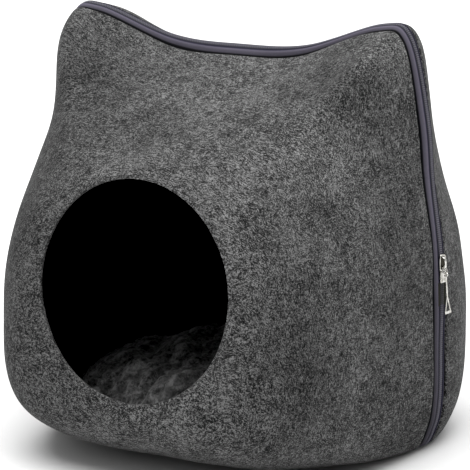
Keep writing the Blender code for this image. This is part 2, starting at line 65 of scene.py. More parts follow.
PROFILE_COLUMNS = (
    "x", "z",
    "front_lean", "front_zip_reach", "front_far_reach",
    "back_lean", "back_zip_reach", "back_far_reach",
)
PROFILE = {  # millimetres and degrees
    "base":      (0, -13, 4, 202, 30, -4, 140, 128),
    "corner_in": (177, -9, 8, 224, 97, -2, 130, 128),
    "corner":    (224, 28, 9, 262, 136, -4, 151, 130),
    "cheek_low": (234, 129, 10, 130, 92, 0, 131, 140),
    "cheek":     (236, 209, 31, 24, 126, 2, 103, 150),
    "neck":      (229, 290, 28, 24, 90, 23, 124, 160),
    "ear_out":   (225, 358, 28, 110, 54, 25, 114, 150),
    "ear_tip":   (208, 440, 12, 156, 31, 3, 109, 120),
    "ear_in":    (173, 451, 31, 120, 16, 11, 114, 118),
    "dip_side":  (82, 423, 54, 61, 20, 25, 78, 116),
    "dip":       (0, 418, 75, 25, 20, 29, 109, 115),
}
AROUND = 16  # stations between two rows of the profile
ALONG = 76  # rows between zip and mouth, or zip and crown

HEM_ROUND = 0.0018  # radius of the felt's edge beside the zip
RIM_ROUND = 0.0007  # and of its cut edge at the mouth
UNEVEN = 0.0005  # how far the moulded felt strays from its even shape
UNEVEN_WAVE = 0.075  # length of those waves

# Section of the tape: place between chain and hem, depth below the skin, hold on the chain's level.
TAPE_SECTION = {
    "chain_edge": (0.0, 0.0014, 1.0),
    "crest":      (0.27, 0.0006, 0.45),
    "slope":      (0.66, 0.0018, 0.0),
    "foot":       (1.0, FELT + SEAM_GAP, 0.0),
}

TOOTH_PITCH = 0.0022
# One tooth of the coil, from its head past the middle line to its root: across, level, half width.
TOOTH = {
    "head":     (-0.0004, -0.0011, 0.00030),
    "shoulder": (0.0004, -0.0006, 0.00060),
    "leg":      (0.0012, -0.0005, 0.00054),
    "heel":     (0.0020, -0.0008, 0.00050),
    "root":     (0.0025, -0.0015, 0.00044),
}
TOOTH_DEPTH, TOOTH_TOP = 0.0009, 0.6  # from its level to its foot, and its top's share of its width
TOOTH_SLANT = 0.34  # how far a tooth leans along the chain for each step across it
# The band under the teeth: level of its edges, dip and half width of its middle, stations along it.
BAND_TOP, BAND_DIP, BAND_MIDDLE, BAND_STATIONS = -0.0013, 0.0002, 0.0022, 700


# -------- shapes
def unit(vectors):
    return vectors / np.linalg.norm(vectors, axis=-1, keepdims=True)


def catmull_rom(knots, steps):
    """A smooth curve between the rows b and c of a table, with the rows a before and d after them.

    knots are the arrays a, b, c and d, and at each share t of the way a value is
    half of 2b + (c - a) t + (2a - 5b + 4c - d) t^2 + (3b - a - 3c + d) t^3.
    """
    a, b, c, d = (part[:, None, :] for part in knots)
    t = (np.arange(steps) / steps)[None, :, None]
    bend, twist = 2 * a - 5 * b + 4 * c - d, 3 * b - a - 3 * c + d
    smooth = 0.5 * (2 * b + (c - a) * t + bend * t**2 + twist * t**3)
    return smooth.reshape(-1, b.shape[-1])


def smooth_rows(rows, steps):
    """An open curve through a short table's rows, its first and last row held."""
    rows = np.array(rows, float)
    padded = join([2 * rows[:1] - rows[1:2], rows, 2 * rows[-1:] - rows[-2:-1]])
    knots = [padded[i : len(padded) - 3 + i] for i in range(4)]
    return join([catmull_rom(knots, steps), rows[-1:]])


def squared(values, power):
    """Values raised to a power with their signs kept: a power below one squares an oval."""
    return np.sign(values) * np.abs(values) ** power


def profile_table():
    """The profile's rows carried round both sides and smoothed by a closed curve."""
    rows = np.array(list(PROFILE.values()), float)
    mirrored = rows[1:-1][::-1].copy()
    mirrored[:, 0] *= -1
    knots = join([rows, mirrored])
    table = catmull_rom([np.roll(knots, shift, axis=0) for shift in (1, 0, -1, -2)], AROUND)
    return {name: table[:, i] for i, name in enumerate(PROFILE_COLUMNS)}


TABLE = profile_table()


def settle(height):
    """Presses the skin flat on the floor: a parabola from -blend to +blend, the floor below it."""
    blend = (height + FLOOR_BLEND) ** 2 / (4 * FLOOR_BLEND)
    return np.where(height <= -FLOOR_BLEND, 0, np.where(height >= FLOOR_BLEND, height, blend))


def round_out(points, turn):
    """Evens each ring of the skin out, more with the distance from the zip, as stiff felt does.

    A point moves towards the mean of its ring's neighbours, weighted by a bell curve over the turn
    round the mouth. The mean is spread again about the ring's middle, so a circle stays as it is.
    """
    away = (turn[:, None] - turn[None, :] + pi) % (2 * pi) - pi
    share = ((np.roll(turn, -1) - np.roll(turn, 1) + pi) % (2 * pi) - pi) / 2
    bell = np.exp(-0.5 * (away / ROUNDING) ** 2) * share[None, :]
    bell /= bell.sum(axis=1, keepdims=True)
    middle = np.einsum("i,ijk->jk", share / share.sum(), points)
    even = middle + (np.einsum("ij,jkl->ikl", bell, points) - middle) * exp(ROUNDING**2 / 2)
    start = np.clip(np.linspace(0, 1, points.shape[1]) / ROUNDING_START, 0, 1)
    weight = (start**2 * (3 - 2 * start))[None, :, None]
    return points + weight * (even - points)


def leaving(side):
    """Unit direction in which the skin leaves the zip: away from its plane, tipped inwards by lean."""
    sign, _, height, *_ = SIDES[side]
    lean = np.radians(TABLE[f"{side}_lean"])
    inward = unit(np.stack([-TABLE["x"], height * 1000 - TABLE["z"]], axis=-1))
    along = np.cos(lean) * sign
    return np.stack([inward[:, 0] * np.sin(lean), along, inward[:, 1] * np.sin(lean)], axis=-1)


def skin(side):
    """One half's outer face: at each station a cubic from the zip to the mouth's rim or the crown.

    The cubic leaves the zip along leaving() and meets the rim at right angles to its circle, each
    end holding its direction for its own reach. round_out and settle then shape the whole.
    """
    sign, radius, height, reach, tilt = SIDES[side]
    zip_line = np.stack([TABLE["x"], 0 * TABLE["x"], TABLE["z"]], axis=-1) / 1000
    turn = np.arctan2(zip_line[:, 2] - height, zip_line[:, 0])
    tipped, upright = -sign * np.sin(turn) * sin(tilt), np.sin(turn) * cos(tilt)
    outward = np.stack([np.cos(turn), tipped, upright], axis=-1)
    rim = np.array([0, sign * reach, height]) + radius * outward
    near = zip_line + leaving(side) * TABLE[f"{side}_zip_reach"][:, None] / 1000
    far = rim + outward * TABLE[f"{side}_far_reach"][:, None] / 1000
    v = np.linspace(0, 1, 2 * ALONG)[None, :, None]
    points = (
        zip_line[:, None] * (1 - v) ** 3
        + 3 * near[:, None] * v * (1 - v) ** 2
        + 3 * far[:, None] * v**2 * (1 - v)
        + rim[:, None] * v**3
    )
    points = round_out(points, turn)
    points[..., 2] = settle(points[..., 2])
    return points


def read_at(places, marks, vectors):
    """Vectors at places along a line, read between the marks they stand at."""
    return np.stack([np.interp(places, marks, vectors[:, k]) for k in range(3)], axis=-1)


class Half:
    """One felt half's skin, read at any distance from the zip and any depth below the surface."""

    def __init__(self, side):
        self.points = skin(side)
        around = np.roll(self.points, -1, axis=0) - np.roll(self.points, 1, axis=0)
        along = np.gradient(self.points, axis=1)
        if side == "back":  # all meridians meet at the crown
            around[:, -1] = around[:, -2]
        self.normals = unit(np.cross(around, along)) * -SIDES[side][0]
        steps = np.linalg.norm(np.diff(self.points, axis=1), axis=-1)
        self.travel = join([np.zeros((len(steps), 1)), np.cumsum(steps, axis=1)], axis=1)

    def at(self, distances):
        """Points and normals at (stations, columns) distances from the zip's middle."""
        points, normals = (
            np.stack([read_at(*station) for station in zip(distances, self.travel, field)])
            for field in (self.points, self.normals)
        )
        return points, unit(normals)


def waves(points, length, seed, count=14):
    """Soft unevenness between about -1 and 1: a sum of cosines in random directions and phases."""
    dice = np.random.default_rng(seed)
    heading = unit(dice.normal(size=(count, 3)))
    rate = 2 * pi / (length * dice.uniform(0.7, 1.6, count))
    phase = dice.uniform(0, 2 * pi, count)
    flat = points.reshape(-1, 3) @ (heading * rate[:, None]).T + phase
    return (np.cos(flat).sum(axis=1) / sqrt(count)).reshape(points.shape[:-1])


def fill(layer, name, values, kind=np.float32):
    layer.foreach_set(name, np.ascontiguousarray(values, kind).ravel())


def new_mesh(name, vertices, faces):
    """An object at the origin from whole arrays of points and of faces with equal corner counts."""
    mesh = bpy.data.meshes.new(name)
    mesh.vertices.add(vertices.size // 3)
    fill(mesh.vertices, "co", vertices)
    mesh.loops.add(faces.size)
    fill(mesh.loops, "vertex_index", faces, np.int32)
    mesh.polygons.add(len(faces))
    fill(mesh.polygons, "loop_start", np.arange(0, faces.size, faces.shape[1]), np.int32)
    mesh.update(calc_edges=True)
    mesh.shade_smooth()
    made = bpy.data.objects.new(name, mesh)
    SCENE.collection.objects.link(made)
    return made


def grid_faces(rows, columns, wrap_rows=True, wrap_columns=True):
    """Quads of a (rows, columns) grid of points, closed on itself where it wraps."""
    index = np.arange(rows * columns).reshape(rows, columns)
    if wrap_rows:
        index = join([index, index[:1]])
    if wrap_columns:
        index = join([index, index[:, :1]], axis=1)
    corners = [index[:-1, :-1], index[1:, :-1], index[1:, 1:], index[:-1, 1:]]
    return np.stack(corners, axis=-1).reshape(-1, 4)


def joined(parts):
    """One set of points, faces and marks out of several, each part's faces counted on."""
    points, faces, marks = zip(*parts)
    starts = np.cumsum([0] + [len(part) for part in points])
    faces = [part + start for part, start in zip(faces, starts)]
    return join(points), join(faces), join(marks)


def outward(piece):
    """Merges the doubles at poles and turns every face of a closed piece outwards."""
    work = bmesh.new()
    work.from_mesh(piece.data)
    bmesh.ops.remove_doubles(work, verts=work.verts, dist=1e-6)
    bmesh.ops.recalc_face_normals(work, faces=work.faces)
    work.to_mesh(piece.data)
    work.free()
    piece.data.shade_smooth()
    return piece


def point_attribute(piece, name, values, shape=None):
    """Gives each point of a piece a value, spread over the grid's shape where one is given."""
    layer = piece.data.attributes.new(name, "FLOAT", "POINT")
    fill(layer.data, "value", np.broadcast_to(values, shape or np.shape(values)))


def uv_map(piece, u, v):
    """Lays u over the grid's rows and v over its columns, each one value longer than the grid."""
    corners = []
    for i, j in ((0, 0), (1, 0), (1, 1), (0, 1)):
        grid = np.meshgrid(u[i : len(u) - 1 + i], v[j : len(v) - 1 + j], indexing="ij")
        corners.append(np.stack(grid, axis=-1))
    fill(piece.data.uv_layers.new(name="UVMap").data, "uv", np.stack(corners, axis=2))


# -------- felt
# Broad patches of painted light and shade on the felt, lighter or darker by how light falls on it:
# middle of the patch, its reach along the floor and in height, all in millimetres, and the change of its
# tone.
PAINTED_SHADING = {
    "left_ear":     (-140, -70, 410, 55, 45, -0.35),
    "left_side":    (-160, -170, 235, 65, 125, -0.42),
    "left_brow":    (-95, -110, 350, 60, 40, -0.25),
    "brow":         (20, -85, 390, 60, 35, 0.10),
    "dip_right":    (145, -70, 402, 40, 42, -0.42),
    "over_mouth":   (-10, -130, 345, 50, 28, -0.22),
    "left_foot":    (-100, -225, 105, 60, 50, -0.24),
    "right_tip":    (196, -28, 430, 35, 45, 0.30),
    "shoulder":     (165, -110, 340, 50, 45, 0.35),
    "mouth_side":   (120, -185, 255, 35, 60, 0.30),
    "front_middle": (160, -178, 255, 35, 50, -0.12),
    "front_low":    (172, -200, 150, 45, 80, -0.30),
    "corner":       (205, -140, 200, 30, 120, 0.14),
    "zip_side":     (228, -60, 240, 35, 90, -0.25),
    "corner_foot":  (215, -130, 40, 60, 40, 0.30),
    "foot":         (0, -190, 40, 120, 45, 0.30),
}


def painted_shading(points):
    """Painted light and shade at each point: one, changed by a bell curve round each place of the table."""
    tone = np.ones(points.shape[:-1])
    for x, y, z, reach, rise, change in PAINTED_SHADING.values():
        off = (points - np.array([x, y, z]) / 1000) / (np.array([reach, reach, rise]) / 1000)
        tone += change * np.exp(-np.sum(off**2, axis=-1))
    return tone


def felt_half(name, half, hem, closed):
    """A moulded felt wall: its section runs once round from the outer face to the inner one.

    At each station the section is the outer face from hem to rim, a small quarter round, the cut
    edge, a quarter round and the inner face back to the hem, which is rounded in the same way. A
    point lies its depth below the skin, and waves() lifts outer and inner face together. On the
    closed half both faces run to the crown instead, and the two grids share no rim.
    """
    quarter = np.linspace(0, pi / 2, 5)
    even = np.linspace(0, 1, ALONG)
    length = half.travel[:, -1:]
    hem_depth = HEM_ROUND * (1 - np.sin(quarter))  # from the edge to the outer face
    hem_place = hem + HEM_ROUND * (1 - np.cos(quarter))
    start = np.tile(hem_place, (len(length), 1))
    if closed:
        outer = hem_place[-1] + (length - hem_place[-1]) * even[None, 1:] ** 0.9
        distances = join([start, outer], axis=1)
        depth = join([hem_depth, 0 * even[1:]])
        distances = join([distances[:, ::-1], distances], axis=1)
        depth = join([(FELT - depth)[::-1], depth])
    else:
        rim_place = length - RIM_ROUND * (1 - np.cos(quarter))[None, ::-1]
        outer = hem_place[-1] + (rim_place[:, :1] - hem_place[-1]) * even[None, 1:-1]
        rim_depth = RIM_ROUND * (1 - np.sin(quarter))[::-1]
        half_way = join([start, outer, rim_place], axis=1)
        depth = join([hem_depth, 0 * even[1:-1], rim_depth])
        distances = join([half_way, half_way[:, ::-1]], axis=1)
        depth = join([depth, (FELT - depth)[::-1]])
    points, normals = half.at(distances)
    if closed:
        for end in (0, -1):
            points[:, end] = points[:, end].mean(axis=0)
            normals[:, end] = (0, 1, 0)
    lift = UNEVEN * waves(points, UNEVEN_WAVE, 11)
    keep = np.clip(points[..., 2] / 0.02, 0, 1)  # the base stays flat
    surface = points - (depth[None, :] - (lift * keep))[..., None] * normals + ORIGIN
    count, columns = surface.shape[:2]
    piece = new_mesh(name, surface, grid_faces(count, columns, True, not closed))
    point_attribute(piece, "inside", depth / FELT, (count, columns))
    # the "mix" attribute carries painted light and shade: broad patches lighter or darker by how light
    # falls
    point_attribute(piece, "mix", painted_shading(points))
    return outward(piece)


# -------- zip
def zip_frame():
    """At each station: the zip's middle, the way across it towards the back, and the way out."""
    middle = np.stack([TABLE["x"] / 1000, 0 * TABLE["x"], settle(TABLE["z"] / 1000)], axis=-1)
    along = unit(np.roll(middle, -1, axis=0) - np.roll(middle, 1, axis=0))
    across = unit(leaving("back") - leaving("front"))
    across = unit(across - along * np.sum(across * along, axis=1, keepdims=True))
    out = np.cross(across, along)
    flat = middle[:, 2] < 1e-6
    across[flat] = (0, 1, 0)
    out[flat] = (0, 0, -1)
    return middle, across, out


def zip_travel(middle):
    """Distance round the zip at each station, with the whole length as one value more."""
    step = np.linalg.norm(np.roll(middle, -1, axis=0) - middle, axis=1)
    return join([[0], np.cumsum(step)])


def zip_tape(name, half, side):
    """A woven tape: its section climbs from the chain's edge over a crest and dives under the felt.

    Near the chain a point keeps the zip's own level, and near the felt it lies its depth below the
    skin, with hold as the share between the two.
    """
    middle, across, out = zip_frame()
    sign, hem = SIDES[side][0], HEMS[side]
    edge = CHAIN_WIDTH / 2 + CHAIN_GAP
    place, depth, hold = smooth_rows(list(TAPE_SECTION.values()), 6).T
    reach = np.append(edge + place * (hem - edge), hem + TAPE_UNDERLAP)
    depth, hold = np.append(depth, FELT + SEAM_GAP), np.clip(np.append(hold, 0.0), 0, 1)
    points, normals = half.at(np.tile(reach, (len(middle), 1)))
    level = middle[:, None] + sign * across[:, None] * reach[None, :, None]
    weight = hold[None, :, None]
    base = points * (1 - weight) + level * weight
    facing = unit(normals * (1 - weight) + out[:, None] * weight)
    outer = base - facing * depth[None, :, None]
    inner = base - facing * (depth + TAPE)[None, :, None]
    grid = join([outer, inner[:, ::-1]], axis=1) + ORIGIN
    rows, columns = grid.shape[:2]
    piece = new_mesh(name, grid, grid_faces(rows, columns))
    width = join([reach, reach[::-1], reach[:1]])
    uv_map(piece, zip_travel(middle), width)
    point_attribute(piece, "inside", np.repeat([0.0, 1.0], columns // 2), (rows, columns))
    return outward(piece)


def along_zip(distances):
    """Middle, along, across and out at given distances round the zip, each an array of vectors."""
    middle, across, _ = zip_frame()
    travel = zip_travel(middle)
    middle, across = (join([field, field[:1]]) for field in (middle, across))
    steps = (0, AHEAD, -AHEAD)
    here, ahead, behind = (read_at((distances + step) % travel[-1], travel, middle) for step in steps)
    along = unit(ahead - behind)
    sideways = unit(read_at(distances % travel[-1], travel, across))
    sideways = unit(sideways - along * np.sum(sideways * along, axis=-1, keepdims=True))
    return here, along, sideways, np.cross(sideways, along)


def carried(places, side, ahead, up):
    """Points at steps across, along and out of the zip from each place that along_zip gives."""
    here, along, across, out = (field[:, None] for field in places)
    return here + across * side[:, None] + along * ahead[:, None] + out * up[:, None] + ORIGIN


def zip_places():
    """Distances round the zip: the slider's middle, the chain's start in it and its end at the box."""
    middle = zip_frame()[0]
    travel = zip_travel(middle)
    side = slice(AROUND, AROUND * list(PROFILE).index("ear_tip"))
    slider = float(np.interp(SLIDER_HEIGHT, middle[side, 2], travel[:-1][side]))
    start = slider - SLIDER_HALF_LENGTH + CHAIN_TUCK
    box = slider - SLIDER_HALF_LENGTH - BOX_GAP - BOX_LENGTH - BOX_GAP
    return slider, start, box + travel[-1], box


def coil_band(start, end):
    """The cord and sewn edges that the coil is wound on: a flat band lower than the teeth."""
    distances = np.linspace(start, end, BAND_STATIONS)
    half, low, bottom = CHAIN_WIDTH / 2, BAND_TOP - BAND_DIP, -CHAIN_SINK - CHAIN_THICKNESS
    side = np.array([-half, -BAND_MIDDLE, BAND_MIDDLE, half, half, -half])
    up = np.array([BAND_TOP, low, low, BAND_TOP, bottom, bottom])
    grid = carried(along_zip(distances), side, 0 * side, up)
    rows, columns = grid.shape[:2]
    faces = grid_faces(rows, columns, False, True)
    caps = np.array([[0, 1, 4, 5], [1, 2, 3, 4]])
    faces = join([faces, caps, caps[:, ::-1] + (rows - 1) * columns])
    piece = new_mesh("coil_band", grid, faces)
    point_attribute(piece, "film", distances[:, None] > end - FILM, (rows, columns))
    return outward(piece)


def coil_teeth(start, end):
    """Both rows of the coil's teeth, one small arched bar repeated at every pitch on each side.

    A bar's section at each of its stations is four points: two on top and two at its foot. The
    stations run from the head, past the middle line, to the root. The rows lean opposite ways.
    """
    place, level, half = np.array(list(TOOTH.values())).T
    foot = np.maximum(level - TOOTH_DEPTH, -CHAIN_SINK - CHAIN_THICKNESS + 0.0001)
    corners = ((-1, 1.0, foot), (-1, TOOTH_TOP, level), (1, TOOTH_TOP, level), (1, 1.0, foot))
    edges = [np.stack([place, turn * half * share, up], axis=-1) for turn, share, up in corners]
    bar = np.stack(edges, axis=1)
    stations, around = bar.shape[:2]
    faces = grid_faces(stations, around, False, True)
    caps = np.array([[0, 1, 2, 3], [3, 2, 1, 0]]) + np.array([[0], [(stations - 1) * around]])
    faces = join([faces, caps])
    flat = bar.reshape(-1, 3)
    count = int((end - start) / TOOTH_PITCH)
    rows = []
    for side in (-1, 1):
        distances = start + TOOTH_PITCH * (np.arange(count) + 0.5 + 0.25 * side)
        ahead = flat[:, 1] + side * TOOTH_SLANT * flat[:, 0]
        teeth = carried(along_zip(distances), side * flat[:, 0], ahead, flat[:, 2])
        turned = faces if side > 0 else faces[:, ::-1]
        counted = turned + np.arange(count)[:, None, None] * len(flat)
        film = np.repeat(distances > end - FILM, len(flat))
        rows.append((teeth.reshape(-1, 3), counted.reshape(-1, 4), film))
    points, faces, film = joined(rows)
    piece = new_mesh("coil_teeth", points, faces)
    point_attribute(piece, "film", film)
    return outward(piece)


# -------- slider
SLIDER_HALF_LENGTH, SLIDER_NOSE, SLIDER_TAIL = 0.009, 0.0055, 0.0042
# Section of the outer plate from its middle over its raised rim and back beneath: share of the
# outline, level above the chain in millimetres, and how much painted shade its field takes.
SLIDER_PLATE = {
    "middle":     (0.00, 0.95, 1.0),
    "field":      (0.66, 0.95, 1.0),
    "rim_foot":   (0.76, 1.00, 0.6),
    "rim_inner":  (0.84, 1.45, 0.0),
    "rim_top":    (0.92, 1.55, 0.0),
    "rim_outer":  (0.99, 1.25, 0.0),
    "edge":       (1.00, 0.60, 0.2),
    "lip":        (0.97, -0.10, 0.8),
    "under_side": (0.70, -0.10, 1.0),
    "underneath": (0.00, -0.10, 1.0),
}
INNER_PLATE = {
    "middle":     (0.00, -3.35, 1.0),
    "face":       (0.92, -3.35, 0.4),
    "edge":       (1.00, -3.80, 0.0),
    "back_edge":  (0.93, -4.50, 0.0),
    "back":       (0.00, -4.50, 0.2),
}
BRIDGE_SPAN, BRIDGE_FOOT, BRIDGE_RISE = 0.012, 0.0005, 0.0042
STRAP_WIDE, STRAP_NARROW, STRAP_THICK = 0.0034, 0.0024, 0.0013
PLATE_POWER, ARCH_POWER, STRAP_POWER = 0.5, 0.6, 0.7  # of an oval: one is round, and zero is square


def slider_plate(section, around=48):
    """A plate whose outline is a squared ellipse, wider at the nose: rings scaled by the section.

    The ellipse has x and y with |x|^4 + |y|^4 = 1, and its width eases from the nose to the tail.
    """
    share, level, dark = np.array(list(section.values())).T
    turn = np.arange(around) * 2 * pi / around
    x, y = squared(np.cos(turn), PLATE_POWER), squared(np.sin(turn), PLATE_POWER)
    y = y[:, None] * share[None]
    half = SLIDER_NOSE + (SLIDER_TAIL - SLIDER_NOSE) * (y + 1) / 2
    level = np.broadcast_to(level[None] / 1000, y.shape)
    grid = np.stack([x[:, None] * share[None] * half, y * SLIDER_HALF_LENGTH, level], axis=-1)
    faces = grid_faces(around, len(share), True, False)
    return grid.reshape(-1, 3), faces, np.broadcast_to(dark, y.shape).ravel()


def slider_bridge(steps=24, around=12):
    """The strap over the plate: a squared oval section carried along the arch.

    The arch runs along -cos t and rises by a power of sin t, and the strap narrows to its middle.
    Each end is closed by quads that fan out from one corner.
    """
    t = np.linspace(0, pi, steps)
    rise = BRIDGE_FOOT + BRIDGE_RISE * np.sin(t) ** ARCH_POWER
    path = np.stack([0 * t, -BRIDGE_SPAN / 2 * np.cos(t), rise], axis=-1)
    across = np.array([1.0, 0, 0])
    outer = np.cross(unit(np.gradient(path, axis=0)), -across)
    turn = np.arange(around) * 2 * pi / around
    wide = (STRAP_WIDE + (STRAP_NARROW - STRAP_WIDE) * np.sin(t)) / 2
    side = squared(np.cos(turn), STRAP_POWER)[None] * wide[:, None]
    thick = squared(np.sin(turn), STRAP_POWER) * STRAP_THICK / 2
    grid = path[:, None] + across * side[..., None] + outer[:, None] * thick[None, :, None]
    ends = np.array([np.arange(around), np.arange(around)[::-1] + (steps - 1) * around])
    caps = [ends[:, [0, i, i + 1, i + 2]] for i in range(1, around - 2, 2)]
    faces = join([grid_faces(steps, around, False, True), *caps])
    return grid.reshape(-1, 3), faces, np.zeros(steps * around)


def slider_body(place_on_zip):
    """The slider: an outer plate with a raised rim, the strap on it and the plate behind the chain."""
    flat, faces, dark = joined([slider_plate(SLIDER_PLATE), slider_bridge(), slider_plate(INNER_PLATE)])
    points = carried(along_zip(np.array([place_on_zip])), *flat.T)[0]
    piece = new_mesh("slider_body", points, faces)
    # each point carries how much painted shade it takes
    point_attribute(piece, "recess_shade", dark)
    return outward(piece)


# -------- cushion
CUSHION_HALF_WIDTH, CUSHION_HALF_DEPTH, CUSHION_CENTRE_Y = 0.205, 0.140, -0.012
CUSHION_HEIGHT, CUSHION_FLOOR, CUSHION_SQUARENESS = 0.066, 0.0058, 2.5
CUSHION_SECTION = {  # share of the half width, share of the height
    "under":     (0.22, 0.00),
    "foot":      (0.44, 0.00),
    "side_low":  (0.83, 0.26),
    "seam":      (1.00, 0.60),
    "side_high": (0.965, 0.78),
    "shoulder":  (0.86, 0.93),
    "inner":     (0.62, 0.995),
    "middle":    (0.30, 0.985),
}
# Soft rolls and troughs of the plush: place across and in depth, heading in degrees, half length,
# half width and rise, in metres.
CUSHION_ROLLS = {
    "front_lobe":    (-0.040, -0.120, 62, 0.055, 0.016, 0.007),
    "front_crease":  (-0.063, -0.115, 76, 0.045, 0.007, -0.010),
    "rim_gap":       (-0.016, -0.118, 86, 0.034, 0.007, -0.022),
    "middle_lobe":   (-0.092, -0.095, 70, 0.060, 0.017, 0.009),
    "left_crease":   (-0.116, -0.108, 68, 0.045, 0.008, -0.010),
    "left_lobe":     (-0.145, -0.088, 60, 0.050, 0.016, 0.006),
    "left_valley":   (-0.092, -0.150, 70, 0.026, 0.016, -0.015),
    "cross_crease":  (-0.060, -0.050, 15, 0.070, 0.012, -0.008),
    "back_lobe":     (-0.090, 0.015, 92, 0.060, 0.016, 0.009),
    "back_crease":   (-0.122, -0.006, 95, 0.050, 0.012, -0.009),
    "right_crease":  (0.000, -0.090, 84, 0.050, 0.008, -0.009),
    "right_lobe":    (0.034, -0.080, 80, 0.050, 0.018, 0.007),
    "far_crease":    (0.070, -0.020, 50, 0.070, 0.012, -0.007),
    "far_lobe":      (0.115, -0.010, 45, 0.080, 0.026, 0.008),
    "rear_lobe":     (-0.020, 0.085, 10, 0.110, 0.028, 0.006),
}
ROLL_SWAY, ROLL_SWAY_WAVE = 0.006, 0.035  # how far a roll's middle line snakes, and over what length
LUMP, LUMP_WAVE = 0.0018, 0.045  # a filling's lumps: height and wave
PILE_CLUMPS = ((0.0011, 0.012, 8), (0.0006, 0.006, 9))  # height, wave and seed
CLOTH_INSET, CLOTH_MESH = 0.006, 0.005  # the cloth's form starts smaller, on an even mesh
CLOTH_PRESSURE, CLOTH_CAP = 4, 0.009


def cushion_form(inset):
    """A filled oval: rings of a squared ellipse, scaled and lifted by the section's shares."""
    count = 120
    turn = np.arange(count) * 2 * pi / count
    power = 2 / CUSHION_SQUARENESS
    wide = (CUSHION_HALF_WIDTH - inset) * squared(np.cos(turn), power)
    deep = (CUSHION_HALF_DEPTH - inset) * squared(np.sin(turn), power)
    rows = [(0.0, 0.0), *CUSHION_SECTION.values(), (0.0, 0.98)]
    share, high = smooth_rows(rows, 6).T
    share, high = np.clip(share, 0, 1), np.clip(high, 0, 1)
    height = np.broadcast_to(high * (CUSHION_HEIGHT - inset), (count, len(high)))
    grid = np.stack([wide[:, None] * share, deep[:, None] * share, height], axis=-1)
    grid = grid + (0, CUSHION_CENTRE_Y, CUSHION_FLOOR) + ORIGIN
    piece = new_mesh("cushion_plush", grid, grid_faces(count, len(high), True, False))
    return outward(piece)


def read_points(mesh, field="co"):
    flat = np.empty(len(mesh.vertices) * 3, np.float32)
    mesh.vertices.foreach_get(field, flat)
    return flat.reshape(-1, 3).astype(float)


def place_points(mesh, points):
    fill(mesh.vertices, "co", points)
    mesh.update()


def evaluated(piece):
    return piece.evaluated_get(bpy.context.evaluated_depsgraph_get())


def bake_modifiers(piece):
    """Applies what is on a piece to its mesh and takes the modifiers off."""
    made, old = bpy.data.meshes.new_from_object(evaluated(piece)), piece.data
    piece.modifiers.clear()
    piece.data = made
    bpy.data.meshes.remove(old)


def swell(piece, frames=20):
    """Blender's cloth filled with air: no gravity, a light pressure, and a cap on every move."""
    before = read_points(piece.data)
    cloth = piece.modifiers.new("filling", "CLOTH")
    cloth.settings.use_pressure = True
    cloth.settings.uniform_pressure_force = CLOTH_PRESSURE
    cloth.settings.effector_weights.gravity = 0
    for step in range(1, frames + 1):
        SCENE.frame_set(step)
    swelled = evaluated(piece)
    after = read_points(swelled.to_mesh())
    swelled.to_mesh_clear()
    piece.modifiers.clear()
    SCENE.frame_set(1)
    move = after - before
    far = np.linalg.norm(move, axis=1, keepdims=True)
    place_points(piece.data, before + move * np.minimum(1, CLOTH_CAP / np.maximum(far, 1e-9)))


def cushion():
    """The plush cushion: a filled form, swelled as cloth, then its soft rolls and its pile's clumps.

    A roll is a bell curve along its heading and across it. Only what faces up takes the rolls.
    """
    piece = cushion_form(CLOTH_INSET)
    remesh = piece.modifiers.new("even", "REMESH")
    remesh.mode, remesh.voxel_size = "VOXEL", CLOTH_MESH
    bake_modifiers(piece)
    swell(piece)
    finer = piece.modifiers.new("finer", "SUBSURF")
    finer.levels = finer.render_levels = 1
    bake_modifiers(piece)
    points = read_points(piece.data)
    normals = read_points(piece.data, "normal")
    top = np.clip((normals[:, 2] + 0.1) / 0.5, 0, 1)
    rise = 0 * top
    for x, y, heading, length, width, lift in CUSHION_ROLLS.values():
        turn = radians(heading)
        dx, dy = points[:, 0] - ORIGIN[0] - x, points[:, 1] - ORIGIN[1] - y
        on = dx * cos(turn) + dy * sin(turn)
        off = dy * cos(turn) - dx * sin(turn) - ROLL_SWAY * np.sin(on / ROLL_SWAY_WAVE)
        rise += lift * np.exp(-((on / length) ** 2) - (off / width) ** 2)
    rise += LUMP * waves(points, LUMP_WAVE, 5)
    pile = sum(height * waves(points, wave, seed, 24) for height, wave, seed in PILE_CLUMPS)
    moved = points.copy()
    moved[:, 2] += rise * top
    moved += normals * (pile * (0.3 + 0.7 * top))[:, None]
    moved[:, 2] = np.maximum(moved[:, 2], CUSHION_FLOOR)
    place_points(piece.data, moved)
    piece.data.shade_smooth()
    return piece


